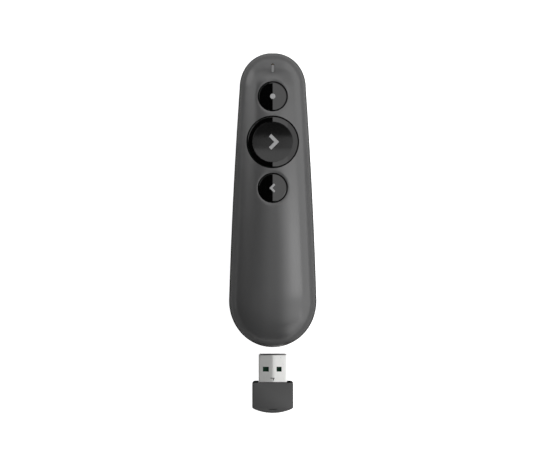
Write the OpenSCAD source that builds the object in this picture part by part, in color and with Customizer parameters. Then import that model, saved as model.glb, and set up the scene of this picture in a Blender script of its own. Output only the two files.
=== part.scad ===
// Wireless presentation clicker with its USB receiver. Millimetres.
// X points right, Y towards the laser tip, Z up out of the button face.
// The underside rests on z = 0 and y = 0 is the middle of the remote's length.

/* [Remote] */
// Length of the remote, tip to tail
remote_length = 124.7; // [110:0.1:140]
// Largest width, near the tail
remote_width = 37.1; // [34:0.1:44]
// Height of the crown above the table
remote_height = 26.3; // [25:0.1:30]
// Thickness of the moulded shells
wall = 1.7; // [1.4:0.1:2.2]
// Height of the joint between the two shells
parting_height = 11; // [10.5:0.1:12]

/* [Buttons] */
// Distance of the laser button from the tip
laser_from_tip = 18.4; // [17:0.1:20]
// Distance of the next button from the tip
next_from_tip = 37.7; // [36.5:0.1:40]
// Distance of the back button from the tip
back_from_tip = 57.2; // [56:0.1:60]
// Diameter of the two small wells
small_well_d = 12.6; // [11:0.1:13]
// Diameter of the large well
large_well_d = 22.1; // [20:0.1:22.6]
// Diameter of the dished pad in the next button
pad_d = 17; // [13:0.1:18]
// Gap between a cap and its well
button_gap = 0.45; // [0.35:0.05:0.6]
// Travel of each button
press_travel = 0.4; // [0.2:0.05:0.45]

/* [Battery] */
// Diameter of the cell
cell_d = 10.5; // [9.5:0.1:10.6]
// Length of the cell over its terminal
cell_length = 44.5; // [42:0.1:44.6]

/* [Receiver] */
// Width of the receiver's cap
cap_width = 17.4; // [14:0.1:18]
// Length of the cap
cap_length = 13.7; // [11:0.1:14.5]
// Thickness of the cap
cap_height = 6; // [5.4:0.1:6.6]
// Width of the metal plug
plug_width = 12; // [11.5:0.1:12.1]
// Thickness of the metal plug
plug_height = 4.5; // [4.2:0.1:4.6]
// Length of the plug ahead of the cap
plug_length = 11.5; // [10.5:0.1:11.9]
// Space between the tail and the plug when undocked
undocked_gap = 2.75; // [1.5:0.05:8]

/* [Door] */
// Width of the battery door
door_width = 12.4; // [12:0.1:12.8]
// Thickness of the battery door
door_thickness = 1.4; // [1.2:0.05:1.45]

/* [Hidden] */
$fn = 64;
L = remote_length;
HL = L / 2;
HW = remote_width / 2;
zp = parting_height;
nose_len = 15.2;
nose_hw = 14.07 * remote_width / 37.1;
tail_len = 19.86;
crown_tail = 24;
belly_tail = 13;
belly_sweep = 40;
belly_lift = 5.5;
top_steps = 22;
low_steps = 18;
kx = 1 - wall / HW;
ky = 1 - wall / HL;
kt = 1 - wall / (remote_height - zp);
kb = 1 - wall / zp;

// Rounding factor of an end: zero at the tip and the tail, one between them
function rise(s, la, lb, na, nb) =
    s < la ? pow(max(0, 1 - pow((la - s) / la, na)), 1 / na)
    : s > L - lb ? pow(max(0, 1 - pow((s - L + lb) / lb, nb)), 1 / nb) : 1;
function mid_at(s) = min(1, max(0, (s - nose_len) / (L - tail_len - nose_len)));
function wide_at(s) =
    nose_hw + (HW - nose_hw) * (mid_at(s) + 0.393 * mid_at(s) * (1 - mid_at(s)));
function hw(s) = wide_at(s) * rise(s, nose_len, tail_len, 2.1, 2.03);
function crown(s) = remote_height - 2.6 * pow((s / L - 0.5774) / 0.5, 2);
function crown_slope(s) = -20.8 * (s / L - 0.5774) / L;
function up_at(s) = (crown(s) - zp) * rise(s, nose_len, crown_tail, 2.6, 2.3);
function down_at(s) =
    (zp + 1 - belly_lift * pow(max(0, (belly_sweep - s) / belly_sweep), 2))
    * rise(s, nose_len, belly_tail, 2.4, 2.6);
// Height of the outer skin over a point of the plan
function top_z(x, y) =
    zp + up_at(HL - y) * pow(max(0, 1 - pow(abs(x) / hw(HL - y), 3)), 1 / 3);
function low_z(x, y) =
    max(0, zp - down_at(HL - y) * pow(max(0, 1 - pow(abs(x) / hw(HL - y), 2.6)), 1 / 2.6));

nose_steps = [0.008, 0.04, 0.09, 0.17, 0.28, 0.42, 0.6, 0.8];
stations = concat(
    [for (f = nose_steps) nose_len * f],
    [for (i = [0:10]) nose_len + (L - tail_len - nose_len) * i / 10],
    [for (f = [0.84, 0.68, 0.53, 0.39, 0.27, 0.17, 0.09, 0.04, 0.008]) L - tail_len * f]);
ns = len(stations);

function spow(v, e) = v < 0 ? -pow(-v, e) : pow(v, e);
// Angle of step j of n over the section, with the steps closest at its rims and on its crown
function eased(f) = f * f * (3 - 2 * f);
function arc_angle(j, n) = j <= n / 2 ? 90 * eased(2 * j / n) : 180 - 90 * eased(2 - 2 * j / n);
function sect_top(s, t) =
    [hw(s) * spow(cos(t), 2 / 3), HL - s, zp + up_at(s) * pow(abs(sin(t)), 2 / 3)];
function sect_low(s, t) =
    [hw(s) * spow(cos(t), 2 / 2.6), HL - s,
     max(0, zp - down_at(s) * pow(abs(sin(t)), 2 / 2.6))];
function shrink(p, a, b, c) = [p[0] * a, p[1] * b, zp + (p[2] - zp) * c];

// Points of one skin: every station's arc, then the two poles
function skin(top, n, a, b, c) = concat(
    [for (s = stations) for (j = [0:n])
        shrink(top ? sect_top(s, arc_angle(j, n)) : sect_low(s, arc_angle(j, n)), a, b, c)],
    [[0, HL * b, zp], [0, -HL * b, zp]]);
function skin_faces(n, o) = concat(
    [for (i = [0:ns - 2]) for (j = [0:n - 1])
        [o + i * (n + 1) + j, o + i * (n + 1) + j + 1, o + (i + 1) * (n + 1) + j + 1]],
    [for (i = [0:ns - 2]) for (j = [0:n - 1])
        [o + i * (n + 1) + j, o + (i + 1) * (n + 1) + j + 1, o + (i + 1) * (n + 1) + j]],
    [for (j = [0:n - 1]) [o + ns * (n + 1), o + j + 1, o + j]],
    [for (j = [0:n - 1])
        [o + ns * (n + 1) + 1, o + (ns - 1) * (n + 1) + j, o + (ns - 1) * (n + 1) + j + 1]]);
function flip(fs) = [for (f = fs) [for (i = [len(f) - 1:-1:0]) f[i]]];
// Flat rim at the parting plane, between the outer and the inner skin
function rim_side(n, q, j) = concat(
    [for (i = [0:ns - 2])
        [i * (n + 1) + j, (i + 1) * (n + 1) + j, q + (i + 1) * (n + 1) + j]],
    [for (i = [0:ns - 2])
        [i * (n + 1) + j, q + (i + 1) * (n + 1) + j, q + i * (n + 1) + j]],
    [[ns * (n + 1), j, q + j], [ns * (n + 1), q + j, q + ns * (n + 1)]],
    [[(ns - 1) * (n + 1) + j, ns * (n + 1) + 1, q + ns * (n + 1) + 1],
     [(ns - 1) * (n + 1) + j, q + ns * (n + 1) + 1, q + (ns - 1) * (n + 1) + j]]);

// One half of the shell as a closed skin of even thickness
module half_shell(top) {
    n = 2 * round((top ? top_steps : low_steps) / 2);
    q = ns * (n + 1) + 2;
    outer = skin(top, n, 1, 1, 1);
    inner = skin(top, n, kx, ky, top ? kt : kb);
    faces_up = concat(skin_faces(n, 0), flip(skin_faces(n, q)),
        rim_side(n, q, 0), flip(rim_side(n, q, n)));
    polyhedron(points = concat(outer, inner), faces = top ? flip(faces_up) : faces_up);
}

// Solid that fills the inside of the lower shell
module low_core(a, b, c) {
    n = 2 * round(low_steps / 2);
    pts = skin(false, n, a, b, c);
    lid = concat(
        [for (i = [0:ns - 2]) [i * (n + 1), (i + 1) * (n + 1), (i + 1) * (n + 1) + n]],
        [for (i = [0:ns - 2]) [i * (n + 1), (i + 1) * (n + 1) + n, i * (n + 1) + n]],
        [[ns * (n + 1), 0, n], [ns * (n + 1) + 1, (ns - 1) * (n + 1) + n, (ns - 1) * (n + 1)]]);
    polyhedron(points = pts, faces = concat(skin_faces(n, 0), lid));
}

module box(x0, x1, y0, y1, z0, z1) {
    translate([x0, y0, z0]) cube([x1 - x0, y1 - y0, z1 - z0]);
}
module rod(x, y, z0, z1, r) {
    translate([x, y, z0]) cylinder(r = r, h = z1 - z0);
}
module rod_y(x, y0, y1, z, r) {
    translate([x, y1, z]) rotate([90, 0, 0]) cylinder(r = r, h = y1 - y0);
}

// Button positions
laser_y = HL - laser_from_tip;
next_y = HL - next_from_tip;
back_y = HL - back_from_tip;
small_r = small_well_d / 2 - button_gap;
large_r = large_well_d / 2 - button_gap;
pad_r = pad_d / 2;
crown_r = 40;
proud = 0.15;
pad_depth = 0.92;

// Board stack
board_z0 = zp + 4.2;
board_z1 = board_z0 + 1;
switch_h = 3.4;
stem_z = board_z1 + switch_h + press_travel + 0.5;
plunger_sunk = 0.8;

// Battery bay
cell_r = cell_d / 2;
cell_z = wall + 0.25 + cell_r;
bay_y1 = 13.7;
cell_y1 = bay_y1 - 0.4;
cell_y0 = cell_y1 - cell_length;
bay_y0 = -34.8;
bay_x = cell_r + 0.45;
bay_z1 = cell_z + cell_r + 0.5;

// Battery door
door_z0 = 0.25;
door_hx = door_width / 2;
door_y1 = 13.6;
door_y0 = -33.1;
door_clear = 0.3;
door_r = door_thickness / 2;
hook_x = door_hx - 1.1;
hook_y0 = door_y1 - 1.6;
hook_y1 = door_y1 + 1.2;

// Receiver, undocked
plug_tip = -HL - undocked_gap;
cap_y1 = plug_tip - plug_length;
cap_y0 = cap_y1 - cap_length;
dock_travel = -HL - cap_y0;
rec_z = cap_height / 2;
plug_wall = 0.3;
rec_board_z0 = rec_z - 0.25;
rec_board_z1 = rec_z + 0.55;
dock_end = plug_tip + dock_travel + 0.35;
dock_cap = cap_y1 + dock_travel + 0.3;

// Housing screws
post_r = 2.8;
boss_r = 2.4;
dock_wall = 1.5;
mid_x = bay_x + 1.6 + post_r + 1.2;
rear_x = cap_width / 2 + dock_wall + post_r + 0.2;
post_low = [[mid_x, 2], [-mid_x, 2], [rear_x, -42], [-rear_x, -42]];
// Board posts
board_posts = [[7.5, 34], [-7.5, 34]];
tray_posts = [[4.6, -29], [-4.6, -29]];

// A cap's rounded face: a lying cylinder tilted to follow the crown
module crown_body(y, r, lift) {
    s = HL - y;
    translate([0, y, crown(s) + lift])
        rotate([-atan(crown_slope(s)), 0, 0])
            translate([0, 0, -crown_r])
                rotate([90, 0, 0])
                    cylinder(r = crown_r, h = 4 * r, center = true, $fn = 96);
}

module small_recess(y) {
    s = HL - y;
    translate([0, y, crown(s) - 0.75])
        rotate([-atan(crown_slope(s)), 0, 0])
            cylinder(r1 = small_well_d / 2 - 0.1, r2 = small_well_d / 2 + 1.15, h = 1.1);
}

module pill(w, len, z0, z1) {
    translate([0, -(len - w) / 2, z0]) cylinder(r = w / 2, h = z1 - z0);
    translate([0, (len - w) / 2, z0]) cylinder(r = w / 2, h = z1 - z0);
    translate([-w / 2, -(len - w) / 2, z0]) cube([w, len - w, z1 - z0]);
}

led_y = HL - 6.4;

module top_shell() {
    color("DimGray") difference() {
        union() {
            half_shell(true);
            for (p = post_low)
                rod(p[0], p[1], zp, top_z(abs(p[0]) + boss_r, p[1]) - 0.9, boss_r);
        }
        rod(0, laser_y, zp + 6, 40, small_well_d / 2);
        rod(0, next_y, zp + 6, 40, large_well_d / 2);
        rod(0, back_y, zp + 6, 40, small_well_d / 2);
        small_recess(laser_y);
        small_recess(back_y);
        translate([0, led_y, 0]) pill(1.3, 3.7, zp + 6, 40);
        rod_y(0, HL - 5, HL + 1, zp, 2.4);
        for (p = post_low)
            rod(p[0], p[1], zp - 1, zp + 8, 1.02);
    }
}

module bottom_shell() {
    color("SlateGray") difference() {
        union() {
            half_shell(false);
            for (p = post_low)
                rod(p[0], p[1], low_z(abs(p[0]) + post_r, p[1]) + 0.8, zp, post_r);
            for (p = board_posts)
                rod(p[0], p[1], low_z(abs(p[0]) + 2, p[1]) + 0.8, board_z0, 2);
        }
        box(-door_hx - door_clear, door_hx + door_clear, door_y0 - door_clear,
            door_y1 + door_clear, -1, wall + 1);
        box(-cap_width / 2 - 0.3, cap_width / 2 + 0.3, -HL - 1, dock_cap, -1,
            cap_height + 0.3);
        box(-plug_width / 2 - 0.3, plug_width / 2 + 0.3, dock_cap - 1, dock_end,
            rec_z - plug_height / 2 - 0.3, wall + 1);
        rod_y(0, HL - 5, HL + 1, zp, 2.4);
        for (p = post_low) {
            rod(p[0], p[1], 1, zp + 1, 1.15);
            rod(p[0], p[1], -1, 5.2, 2.1);
        }
        for (p = board_posts)
            rod(p[0], p[1], board_z0 - 6, board_z0 + 1, 0.82);
    }
}

module battery_door() {
    z1 = door_z0 + door_thickness;
    color("Gray") union() {
        difference() {
            union() {
                box(-door_hx, door_hx, door_y0, door_y1 - door_r, door_z0, z1);
                translate([-door_hx, door_y1 - door_r, door_z0 + door_r])
                    rotate([0, 90, 0]) cylinder(r = door_r, h = door_width);
            }
            box(-4.1, -3.4, door_y0 - 1, door_y0 + 9.5, -1, 4);
            box(3.4, 4.1, door_y0 - 1, door_y0 + 9.5, -1, 4);
            for (i = [0:4])
                box(-2.6, 2.6, door_y0 + 1.4 + i * 1.3, door_y0 + 2 + i * 1.3, -1, door_z0 + 0.35);
        }
        box(-3.2, 3.2, door_y0, door_y0 + 0.9, z1 - 0.1, z1 + 0.5);
        for (m = [-1, 1]) {
            box(m * hook_x - 0.8, m * hook_x + 0.8, hook_y0, door_y1, z1 - 0.1, wall + 1.2);
            box(m * hook_x - 0.8, m * hook_x + 0.8, hook_y0, hook_y1, wall + 0.3, wall + 1.2);
        }
    }
}

// One small cap: crowned disc, skirt, foot on the switch and two retaining tabs
module small_cap(y) {
    zc = crown(HL - y);
    union() {
        difference() {
            intersection() {
                rod(0, y, zc - 3.6, zc + 2, small_r);
                crown_body(y, small_r, proud);
            }
            rod(0, y, zc - 4, zc - 1.8, small_r - 1.1);
        }
        rod(0, y, stem_z, zc - 1.7, 1.6);
        for (m = [-1, 1])
            translate([-1.5, y + m * small_r - 0.7, zc - 3.6]) cube([3, 1.4, 0.7]);
    }
}

module laser_button_cap() {
    color("Black") small_cap(laser_y);
}

module back_button_cap() {
    color("Black") small_cap(back_y);
}

module next_button_cap() {
    zc = crown(HL - next_y);
    color("Black") union() {
        difference() {
            intersection() {
                rod(0, next_y, zc - 4.2, zc + 2, large_r);
                crown_body(next_y, large_r, proud);
            }
            rod(0, next_y, zc - 2.2, zc + 3, pad_r);
            rod(0, next_y, zc - 5, zc - 3.4, large_r - 1.2);
        }
        rod(0, next_y, stem_z, zc - 3.3, 1.8);
        for (m = [-1, 1])
            translate([-2, next_y + m * large_r - 0.7, zc - 4.2]) cube([4, 1.4, 0.8]);
    }
}

// Dished pad: its rim lies on the crown and its middle is lower
function pad_z(x, y) =
    crown(HL - next_y) + proud - 0.05 - y * crown_slope(HL - next_y)
    - crown_r + sqrt(crown_r * crown_r - x * x)
    - pad_depth * (1 - min(1, (x * x + y * y) / (pad_r * pad_r)));

module next_button_pad() {
    nr = 6;
    nc = 36;
    r0 = pad_r - 0.02;
    zb = crown(HL - next_y) - 2.2;
    top = [for (i = [1:nr]) for (j = [0:nc - 1])
        let (r = r0 * i / nr, x = r * cos(360 * j / nc), y = r * sin(360 * j / nc))
            [x, next_y + y, pad_z(x, y)]];
    base = [for (j = [0:nc - 1])
        [r0 * cos(360 * j / nc), next_y + r0 * sin(360 * j / nc), zb]];
    pts = concat(top, base, [[0, next_y, pad_z(0, 0)], [0, next_y, zb]]);
    c0 = (nr + 1) * nc;
    faces = concat(
        [for (j = [0:nc - 1]) [c0, (j + 1) % nc, j]],
        [for (i = [0:nr - 1]) for (j = [0:nc - 1])
            [i * nc + j, i * nc + (j + 1) % nc, (i + 1) * nc + (j + 1) % nc]],
        [for (i = [0:nr - 1]) for (j = [0:nc - 1])
            [i * nc + j, (i + 1) * nc + (j + 1) % nc, (i + 1) * nc + j]],
        [for (j = [0:nc - 1]) [c0 + 1, nr * nc + j, nr * nc + (j + 1) % nc]]);
    color("DarkSlateGray") polyhedron(points = pts, faces = faces);
}

module switch_body(y) {
    difference() {
        box(-3, 3, y - 3, y + 3, board_z1, board_z1 + switch_h);
        rod(0, y, board_z1 + switch_h - plunger_sunk - press_travel - 0.1,
            board_z1 + switch_h + 1, 1.75);
    }
}

module switch_plunger(y) {
    rod(0, y, board_z1 + switch_h - plunger_sunk, stem_z, 1.7);
}

module laser_switch() {
    color("Silver") switch_body(laser_y);
}
module next_switch() {
    color("Silver") switch_body(next_y);
}
module back_switch() {
    color("Silver") switch_body(back_y);
}
module laser_plunger() {
    color("Ivory") switch_plunger(laser_y);
}
module next_plunger() {
    color("Ivory") switch_plunger(next_y);
}
module back_plunger() {
    color("Ivory") switch_plunger(back_y);
}

led_x = 0;
led_top = top_z(0, led_y);

module led_light_pipe() {
    color("White") difference() {
        translate([led_x, led_y, 0]) pill(1.2, 3.6, board_z1 + 0.7, led_top + 2);
        translate([-3, led_y, led_top - 0.35])
            rotate([-22, 0, 0]) translate([0, -6, 0]) cube([6, 12, 8]);
    }
}

module status_led() {
    color("Yellow") box(-0.5, 0.5, led_y - 0.8, led_y + 0.8, board_z1, board_z1 + 0.7);
}

module laser_window() {
    color("Black") rod_y(0, HL - 2.9, HL - 1, zp, 2.37);
}

module laser_barrel() {
    color("Goldenrod") difference() {
        rod_y(0, HL - 15.4, HL - 3.9, zp, 3.2);
        rod_y(0, HL - 13, HL, zp, 2.3);
        rod_y(0, HL - 16, HL - 12.4, zp, 2.82);
    }
}

module laser_lens() {
    color("LightCyan") union() {
        rod_y(0, HL - 6.4, HL - 5.4, zp, 2.27);
        intersection() {
            rod_y(0, HL - 5.5, HL - 4, zp, 2.27);
            translate([0, HL - 9.2, zp]) sphere(r = 4.5);
        }
    }
}

module laser_diode() {
    color("Khaki") union() {
        rod_y(0, HL - 13.6, HL - 12.4, zp, 2.8);
        rod_y(0, HL - 12.5, HL - 10, zp, 1.9);
        for (a = [90, 210, 330])
            rod_y(1.3 * cos(a), HL - 18.5, HL - 13.5, zp + 1.3 * sin(a), 0.22);
    }
}

module laser_holder() {
    color("Gray") difference() {
        box(-4.6, 4.6, HL - 14.4, HL - 7, zp - 1.2, board_z0);
        rod_y(0, HL - 16, HL, zp, 3.23);
    }
}

// Distances from the tip where the board's edge turns, and its half width there
board_from_tip = [42.35, 26.35, 16.35, 12.35, 9.35, 7.15];
function board_x(s) = kx * hw(s) - 1.7 - 4 * pow(max(0, 1 - s / nose_len), 0.7);

module circuit_board() {
    color("DarkGreen") difference() {
        translate([0, 0, board_z0]) linear_extrude(height = 1)
            polygon(concat(
                [[-board_x(board_from_tip[0]), bay_y0 + 1.8],
                 [board_x(board_from_tip[0]), bay_y0 + 1.8]],
                [for (s = board_from_tip) [board_x(s), HL - s]],
                [for (i = [len(board_from_tip) - 1:-1:0])
                    [-board_x(board_from_tip[i]), HL - board_from_tip[i]]]));
        for (p = post_low)
            rod(p[0], p[1], board_z0 - 1, board_z1 + 1, boss_r + 0.5);
        for (p = board_posts)
            rod(p[0], p[1], board_z0 - 1, board_z1 + 1, 1);
        for (p = tray_posts)
            rod(p[0], p[1], board_z0 - 1, board_z1 + 1, 1);
    }
}

module radio_chip() {
    color("Black") box(-2.5, 2.5, 27, 32, board_z0 - 0.9, board_z0);
}
module driver_chip() {
    color("Black") box(-8, -5, 22, 25, board_z0 - 0.9, board_z0);
}
module crystal() {
    color("Silver") box(3.6, 6.8, 22.5, 25, board_z0 - 0.8, board_z0);
}
module chip_antenna() {
    x0 = -board_x(board_from_tip[0]) + 0.6;
    color("LightBlue") box(x0, x0 + 3.4, bay_y0 + 3.4, bay_y0 + 5, board_z1, board_z1 + 1.2);
}
module board_capacitors() {
    color("Tan") for (p = [[-6.4, 29], [-6.4, 19], [5.2, 19], [5.8, 28.4]])
        box(p[0] - 1, p[0] + 1, p[1] - 0.6, p[1] + 0.6, board_z0 - 1, board_z0);
}

module pan_screw(r, head, hh, down) {
    union() {
        difference() {
            cylinder(r = head, h = hh);
            translate([-head * 0.6, -0.2, hh - 0.4]) cube([head * 1.2, 0.4, 1]);
            translate([-0.2, -head * 0.6, hh - 0.4]) cube([0.4, head * 1.2, 1]);
        }
        translate([0, 0, -down]) cylinder(r = r, h = down + 0.1);
    }
}

module board_screws() {
    color("Silver") union() {
        for (p = board_posts)
            translate([p[0], p[1], board_z1]) pan_screw(0.8, 1.6, 1, 4.5);
        for (p = tray_posts)
            translate([p[0], p[1], board_z1]) pan_screw(0.8, 1.6, 1, 1.7);
    }
}

module housing_screws() {
    color("Silver") for (p = post_low)
        translate([p[0], p[1], 5.2]) mirror([0, 0, 1]) pan_screw(1, 1.85, 1.4, zp + 1.8);
}

module battery_tray() {
    color("DimGray") difference() {
        union() {
            box(-bay_x - 1.6, bay_x + 1.6, bay_y0 - 1.2, bay_y1 + 1.2, wall, bay_z1 + 1.1);
            for (p = tray_posts)
                rod(p[0], p[1], bay_z1 + 0.5, board_z0, 1.8);
        }
        box(-bay_x, bay_x, bay_y0, bay_y1, 0, bay_z1);
        box(-door_hx - 0.6, door_hx + 0.6, bay_y0 - 2, bay_y1 + 2, 0, wall + 0.5);
        box(-door_hx - 0.2, door_hx + 0.2, hook_y0 - 1.2, bay_y1 + 2, 0, wall + 2.3);
        box(-1.6, 1.6, bay_y1 - 1, bay_y1 + 0.2, bay_z1 - 1, board_z0 + 1);
        box(-1.6, 1.6, bay_y0 - 0.2, bay_y0 + 1, bay_z1 - 1, board_z0 + 1);
        for (p = tray_posts)
            rod(p[0], p[1], bay_z1 - 1, board_z0 + 1, 0.82);
    }
}

module battery_cell() {
    color("Silver") union() {
        rod_y(0, cell_y0, cell_y1 - 1, cell_z, cell_r - 0.1);
        rod_y(0, cell_y1 - 1.5, cell_y1, cell_z, 1.9);
    }
}

module battery_sleeve() {
    color("DarkOrange") difference() {
        rod_y(0, cell_y0 + 0.6, cell_y1 - 1.4, cell_z, cell_r);
        rod_y(0, cell_y0 - 1, cell_y1 + 1, cell_z, cell_r - 0.09);
    }
}

module battery_plus_plate() {
    color("Gainsboro") union() {
        box(-4, 4, bay_y1 - 0.4, bay_y1, wall + 2.6, bay_z1 - 0.2);
        box(-1.3, 1.3, bay_y1 - 0.4, bay_y1, bay_z1 - 0.3, board_z0);
    }
}

module battery_minus_plate() {
    color("Gainsboro") union() {
        box(-5, 5, bay_y0, bay_y0 + 0.4, wall + 1.4, bay_z1 - 0.2);
        box(-1.3, 1.3, bay_y0, bay_y0 + 0.4, bay_z1 - 0.3, board_z0);
    }
}

// Conical coil between the minus plate and the cell
module battery_spring() {
    wr = 0.3;
    ya = bay_y0 + 0.4 + wr;
    yb = cell_y0 - wr;
    turns = 3.5;
    n = 56;
    m = 6;
    function lead(t) = t < 0.2 ? 0 : t > 0.85 ? 1 : (t - 0.2) / 0.65;
    function at(i) = let (t = i / n, a = 360 * turns * t, r = 4.1 - 1.7 * t)
        [r * cos(a), ya + (yb - ya) * lead(t), cell_z + r * sin(a)];
    function ring(i) = let (t = i / n, a = 360 * turns * t, c = at(i))
        [for (k = [0:m - 1])
            c + wr * [cos(a) * cos(60 * k), sin(60 * k), sin(a) * cos(60 * k)]];
    pts = [for (i = [0:n]) for (p = ring(i)) p];
    sides = concat(
        [for (i = [0:n - 1]) for (k = [0:m - 1])
            [i * m + k, i * m + (k + 1) % m, (i + 1) * m + (k + 1) % m]],
        [for (i = [0:n - 1]) for (k = [0:m - 1])
            [i * m + k, (i + 1) * m + (k + 1) % m, (i + 1) * m + k]]);
    ends = [[for (k = [0:m - 1]) m - 1 - k], [for (k = [0:m - 1]) n * m + k]];
    color("Silver") polyhedron(points = pts, faces = flip(concat(sides, ends)));
}

// Moulded block in the tail that holds the docked receiver
module receiver_dock() {
    color("DarkGray") difference() {
        intersection() {
            low_core(kx - 0.004, ky - 0.001, kb - 0.006);
            box(-cap_width / 2 - dock_wall, cap_width / 2 + dock_wall, -HL, bay_y0 - 1.4, 0,
                cap_height + 1.6);
        }
        box(-cap_width / 2 - 0.3, cap_width / 2 + 0.3, -HL - 1, dock_cap, -1,
            cap_height + 0.3);
        box(-plug_width / 2 - 0.3, plug_width / 2 + 0.3, dock_cap - 1, dock_end, -1,
            rec_z + plug_height / 2 + 0.3);
    }
}

// Plan of the receiver's cap, rounded to match the tail
module cap_plan(w, d, l) {
    intersection() {
        translate([0, cap_y0 + 20 + d]) circle(r = 20, $fn = 120);
        union() {
            translate([-w / 2, cap_y0 - 1]) square([w, l + 1 - d - 0.8]);
            translate([-w / 2 + 0.8, cap_y0 - 1]) square([w - 1.6, l + 1 - d]);
            translate([-w / 2 + 0.8, cap_y1 - d - 0.8]) circle(r = 0.8);
            translate([w / 2 - 0.8, cap_y1 - d - 0.8]) circle(r = 0.8);
        }
    }
}

// Section of a bar with chamfered edges, its underside on z = 0
module edge_bar(w, h, c) {
    polygon([[-w / 2, c], [-w / 2 + c, 0], [w / 2 - c, 0], [w / 2, c],
        [w / 2, h - c], [w / 2 - c, h], [-w / 2 + c, h], [-w / 2, h - c]]);
}

module receiver_cap() {
    c = 0.5;
    front = 0.8;
    color("DimGray") difference() {
        intersection() {
            linear_extrude(height = cap_height) cap_plan(cap_width, 0, cap_length);
            translate([0, cap_y1 + 1, 0]) rotate([90, 0, 0])
                linear_extrude(height = cap_length + 2) edge_bar(cap_width, cap_height, c);
            translate([0, cap_y0 + 20, 0]) rotate_extrude($fn = 120)
                polygon([[0, 0], [20 - c, 0], [20, c], [20, cap_height - c],
                    [20 - c, cap_height], [0, cap_height]]);
            translate([-cap_width, 0, 0]) rotate([90, 0, 90])
                linear_extrude(height = 2 * cap_width)
                    polygon([[cap_y0 - 1, 0], [cap_y1 - front, 0], [cap_y1, front],
                        [cap_y1, cap_height - front], [cap_y1 - front, cap_height],
                        [cap_y0 - 1, cap_height]]);
        }
        box(-plug_width / 2 - 0.02, plug_width / 2 + 0.02, cap_y0 + 2.2, cap_y1 + 1,
            rec_z - plug_height / 2 - 0.02, rec_z + plug_height / 2 + 0.02);
        box(-1.5, 1.5, cap_y0 + 1.6, cap_y0 + 1.95, cap_height - 0.25, cap_height + 1);
    }
}

// Bar along Y with rounded edges, centred on the plug
module round_bar(y0, y1, w, h, r) {
    translate([0, y1, rec_z]) rotate([90, 0, 0]) linear_extrude(height = y1 - y0) union() {
        square([w - 2 * r, h], center = true);
        square([w, h - 2 * r], center = true);
        for (i = [-1, 1])
            for (j = [-1, 1])
                translate([i * (w / 2 - r), j * (h / 2 - r)]) circle(r = r, $fn = 32);
    }
}

// The plug's windows, for its shell and the pockets below them
module plug_windows(z0, z1) {
    for (m = [-1, 1])
        box(m * 3 - 1.2, m * 3 + 1.2, plug_tip - 7.6, plug_tip - 5.7, z0, z1);
}

module receiver_plug_shell() {
    w = plug_width;
    h = plug_height;
    color("Silver") difference() {
        round_bar(cap_y1 - 6, plug_tip, w, h, 0.5);
        round_bar(cap_y1 - 7, plug_tip + 1, w - 2 * plug_wall, h - 2 * plug_wall, 0.5 - plug_wall);
        plug_windows(rec_z - h, rec_z + h);
    }
}

module receiver_insert() {
    z1 = rec_z + plug_height / 2 - plug_wall - 0.05;
    color("Black") difference() {
        box(-plug_width / 2 + plug_wall + 0.15, plug_width / 2 - plug_wall - 0.15, cap_y1 - 6,
            plug_tip - 0.3, rec_board_z1, z1);
        plug_windows(rec_board_z1 - 1, z1 + 1);
    }
}

module receiver_board() {
    color("Green") box(-plug_width / 2 + 0.5, plug_width / 2 - 0.5, cap_y0 + 2.6,
        plug_tip - 0.4, rec_board_z0, rec_board_z1);
}

module receiver_contacts() {
    color("Gold") for (x = [-3.5, -1, 1, 3.5])
        box(x - 0.5, x + 0.5, plug_tip - (abs(x) > 2 ? 8.4 : 7.4), plug_tip - 0.8,
            rec_board_z0 - 0.12, rec_board_z0);
}

module receiver_chip() {
    color("Black") box(-2, 2, cap_y1 - 8.4, cap_y1 - 4.4, rec_board_z0 - 0.8, rec_board_z0);
}

module receiver_crystal() {
    color("Silver") box(2.8, 4.8, cap_y1 - 7.6, cap_y1 - 6, rec_board_z0 - 0.6, rec_board_z0);
}

top_shell();
bottom_shell();
battery_door();
laser_button_cap();
next_button_cap();
next_button_pad();
back_button_cap();
laser_plunger();
next_plunger();
back_plunger();
laser_switch();
next_switch();
back_switch();
led_light_pipe();
status_led();
laser_window();
laser_barrel();
laser_lens();
laser_diode();
laser_holder();
circuit_board();
radio_chip();
driver_chip();
crystal();
chip_antenna();
board_capacitors();
board_screws();
housing_screws();
battery_tray();
battery_cell();
battery_sleeve();
battery_spring();
battery_minus_plate();
battery_plus_plate();
receiver_dock();
receiver_cap();
receiver_plug_shell();
receiver_insert();
receiver_board();
receiver_contacts();
receiver_chip();
receiver_crystal();
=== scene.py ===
"""Looks of the wireless presentation clicker and its USB receiver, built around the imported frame.

Sizes are in millimetres in the helpers and become metres when a mesh is made. X points right,
Y towards the laser tip, Z up out of the button face, as in the frame. A place along the remote
is also given as s, the distance from its tip.
"""
import math

import bmesh
import bpy
from mathutils import Matrix, Vector


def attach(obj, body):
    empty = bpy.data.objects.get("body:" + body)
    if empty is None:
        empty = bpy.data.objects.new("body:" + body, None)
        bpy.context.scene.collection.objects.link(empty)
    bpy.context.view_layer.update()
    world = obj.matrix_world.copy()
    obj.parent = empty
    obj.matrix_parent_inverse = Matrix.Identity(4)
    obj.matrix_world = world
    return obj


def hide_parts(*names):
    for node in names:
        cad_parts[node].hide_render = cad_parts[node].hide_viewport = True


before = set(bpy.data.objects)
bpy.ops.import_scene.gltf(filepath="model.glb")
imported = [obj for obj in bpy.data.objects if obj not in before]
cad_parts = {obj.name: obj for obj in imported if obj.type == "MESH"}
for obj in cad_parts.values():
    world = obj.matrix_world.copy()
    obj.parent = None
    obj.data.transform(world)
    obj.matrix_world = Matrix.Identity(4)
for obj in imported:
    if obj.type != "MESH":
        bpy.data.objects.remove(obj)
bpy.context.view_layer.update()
MM = 0.001

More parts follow.
